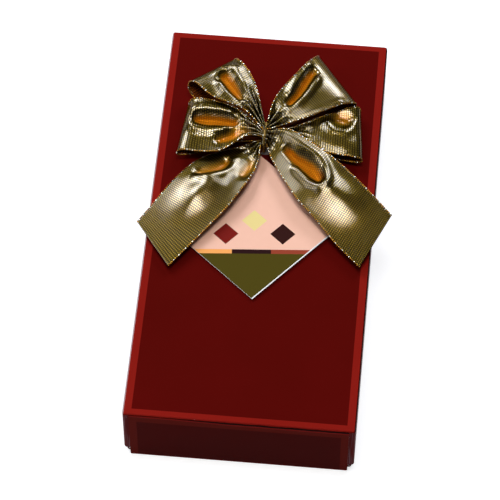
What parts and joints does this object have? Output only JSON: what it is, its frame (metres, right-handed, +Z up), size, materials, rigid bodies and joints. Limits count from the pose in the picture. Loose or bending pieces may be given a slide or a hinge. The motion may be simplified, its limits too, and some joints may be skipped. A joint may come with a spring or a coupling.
{
  "type": "chocolate box",
  "caption": "Oblong board gift box with a lift-off telescoping lid, a label card and a wired ribbon bow, holding a formed tray of pralines under a cushion pad.",
  "frame": {"origin": "centre of the base's underside, on the surface that the box stands on", "axes": "+Z up, +Y along the box towards the end that the bow is nearer to, +X across the box to the right"},
  "size_m": [0.1004, 0.1862, 0.0416],
  "materials": {
    "base_board": "printed and laminated folding boxboard, satin",
    "lid_board": "printed and laminated folding boxboard, satin, with a brighter printed border",
    "dry_glue": "dried dispersion glue",
    "tray_sheet": "thermoformed sheet, gold, glossy",
    "pad_paper": "embossed glassine paper",
    "label_print": "printed card, satin",
    "foam": "closed-cell adhesive foam",
    "ribbon_lame": "woven metallic yarn, shiny, with wired edges",
    "gold_cord": "twisted metallic cord",
    "dark_chocolate": "moulded, satin",
    "milk_chocolate": "moulded, satin",
    "white_chocolate": "moulded, satin",
    "ruby_chocolate": "moulded, satin"
  },
  "bodies": {
    "base": {"base": "base_board", "base_corner_glue": "dry_glue"},
    "tray": {"tray": "tray_sheet"},
    "cushion_pad": {"cushion_pad": "pad_paper"},
    "lid": {"lid": "lid_board", "lid_corner_glue": "dry_glue", "label_card": "label_print", "label_foam_dots": "foam", "gathered_centre": "ribbon_lame", "tie_cord": "gold_cord", "bow_adhesive_dot": "foam", "upper_left_loop": "ribbon_lame", "lower_left_loop": "ribbon_lame", "upper_right_loop": "ribbon_lame", "lower_right_loop": "ribbon_lame", "left_tail": "ribbon_lame", "right_tail": "ribbon_lame"},
    "square_praline_left": {"square_praline_left": "dark_chocolate"},
    "square_praline_middle": {"square_praline_middle": "dark_chocolate"},
    "square_praline_right": {"square_praline_right": "dark_chocolate"},
    "dome_praline_left": {"dome_praline_left": "milk_chocolate"},
    "dome_praline_middle": {"dome_praline_middle": "milk_chocolate"},
    "dome_praline_right": {"dome_praline_right": "milk_chocolate"},
    "oval_praline_left": {"oval_praline_left": "white_chocolate"},
    "oval_praline_middle": {"oval_praline_middle": "white_chocolate"},
    "oval_praline_right": {"oval_praline_right": "white_chocolate"},
    "heart_praline_left": {"heart_praline_left": "ruby_chocolate"},
    "heart_praline_middle": {"heart_praline_middle": "ruby_chocolate"},
    "heart_praline_right": {"heart_praline_right": "ruby_chocolate"},
    "log_praline_left": {"log_praline_left": "dark_chocolate"},
    "log_praline_middle": {"log_praline_middle": "dark_chocolate"},
    "log_praline_right": {"log_praline_right": "dark_chocolate"},
    "hexagon_praline_left": {"hexagon_praline_left": "milk_chocolate"},
    "hexagon_praline_middle": {"hexagon_praline_middle": "milk_chocolate"},
    "hexagon_praline_right": {"hexagon_praline_right": "milk_chocolate"}
  },
  "joints": [
    {"name": "lid_lift", "type": "slide", "parent": "base", "child": "lid", "axis": [0, 0, 1], "range_m": [0, 0.12]},
    {"name": "cushion_pad_lift", "type": "slide", "parent": "base", "child": "cushion_pad", "axis": [0, 0, 1], "range_m": [0, 0.072]},
    {"name": "tray_lift", "type": "slide", "parent": "base", "child": "tray", "axis": [0, 0, 1], "range_m": [0, 0.03]},
    {"name": "square_praline_left_lift", "type": "slide", "parent": "tray", "child": "square_praline_left", "axis": [0, 0, 1], "range_m": [0, 0.024]},
    {"name": "square_praline_middle_lift", "type": "slide", "parent": "tray", "child": "square_praline_middle", "axis": [0, 0, 1], "range_m": [0, 0.024]},
    {"name": "square_praline_right_lift", "type": "slide", "parent": "tray", "child": "square_praline_right", "axis": [0, 0, 1], "range_m": [0, 0.024]},
    {"name": "dome_praline_left_lift", "type": "slide", "parent": "tray", "child": "dome_praline_left", "axis": [0, 0, 1], "range_m": [0, 0.024]},
    {"name": "dome_praline_middle_lift", "type": "slide", "parent": "tray", "child": "dome_praline_middle", "axis": [0, 0, 1], "range_m": [0, 0.024]},
    {"name": "dome_praline_right_lift", "type": "slide", "parent": "tray", "child": "dome_praline_right", "axis": [0, 0, 1], "range_m": [0, 0.024]},
    {"name": "oval_praline_left_lift", "type": "slide", "parent": "tray", "child": "oval_praline_left", "axis": [0, 0, 1], "range_m": [0, 0.024]},
    {"name": "oval_praline_middle_lift", "type": "slide", "parent": "tray", "child": "oval_praline_middle", "axis": [0, 0, 1], "range_m": [0, 0.024]},
    {"name": "oval_praline_right_lift", "type": "slide", "parent": "tray", "child": "oval_praline_right", "axis": [0, 0, 1], "range_m": [0, 0.024]},
    {"name": "heart_praline_left_lift", "type": "slide", "parent": "tray", "child": "heart_praline_left", "axis": [0, 0, 1], "range_m": [0, 0.024]},
    {"name": "heart_praline_middle_lift", "type": "slide", "parent": "tray", "child": "heart_praline_middle", "axis": [0, 0, 1], "range_m": [0, 0.024]},
    {"name": "heart_praline_right_lift", "type": "slide", "parent": "tray", "child": "heart_praline_right", "axis": [0, 0, 1], "range_m": [0, 0.024]},
    {"name": "log_praline_left_lift", "type": "slide", "parent": "tray", "child": "log_praline_left", "axis": [0, 0, 1], "range_m": [0, 0.024]},
    {"name": "log_praline_middle_lift", "type": "slide", "parent": "tray", "child": "log_praline_middle", "axis": [0, 0, 1], "range_m": [0, 0.024]},
    {"name": "log_praline_right_lift", "type": "slide", "parent": "tray", "child": "log_praline_right", "axis": [0, 0, 1], "range_m": [0, 0.024]},
    {"name": "hexagon_praline_left_lift", "type": "slide", "parent": "tray", "child": "hexagon_praline_left", "axis": [0, 0, 1], "range_m": [0, 0.024]},
    {"name": "hexagon_praline_middle_lift", "type": "slide", "parent": "tray", "child": "hexagon_praline_middle", "axis": [0, 0, 1], "range_m": [0, 0.024]},
    {"name": "hexagon_praline_right_lift", "type": "slide", "parent": "tray", "child": "hexagon_praline_right", "axis": [0, 0, 1], "range_m": [0, 0.024]}
  ],
  "couplings": [
    {"joint": "cushion_pad_lift", "follows": "lid_lift", "ratio": 0.6},
    {"joint": "tray_lift", "follows": "lid_lift", "ratio": 0.25},
    {"joint": "square_praline_left_lift", "follows": "lid_lift", "ratio": 0.2},
    {"joint": "square_praline_middle_lift", "follows": "lid_lift", "ratio": 0.2},
    {"joint": "square_praline_right_lift", "follows": "lid_lift", "ratio": 0.2},
    {"joint": "dome_praline_left_lift", "follows": "lid_lift", "ratio": 0.2},
    {"joint": "dome_praline_middle_lift", "follows": "lid_lift", "ratio": 0.2},
    {"joint": "dome_praline_right_lift", "follows": "lid_lift", "ratio": 0.2},
    {"joint": "oval_praline_left_lift", "follows": "lid_lift", "ratio": 0.2},
    {"joint": "oval_praline_middle_lift", "follows": "lid_lift", "ratio": 0.2},
    {"joint": "oval_praline_right_lift", "follows": "lid_lift", "ratio": 0.2},
    {"joint": "heart_praline_left_lift", "follows": "lid_lift", "ratio": 0.2},
    {"joint": "heart_praline_middle_lift", "follows": "lid_lift", "ratio": 0.2},
    {"joint": "heart_praline_right_lift", "follows": "lid_lift", "ratio": 0.2},
    {"joint": "log_praline_left_lift", "follows": "lid_lift", "ratio": 0.2},
    {"joint": "log_praline_middle_lift", "follows": "lid_lift", "ratio": 0.2},
    {"joint": "log_praline_right_lift", "follows": "lid_lift", "ratio": 0.2},
    {"joint": "hexagon_praline_left_lift", "follows": "lid_lift", "ratio": 0.2},
    {"joint": "hexagon_praline_middle_lift", "follows": "lid_lift", "ratio": 0.2},
    {"joint": "hexagon_praline_right_lift", "follows": "lid_lift", "ratio": 0.2}
  ]
}
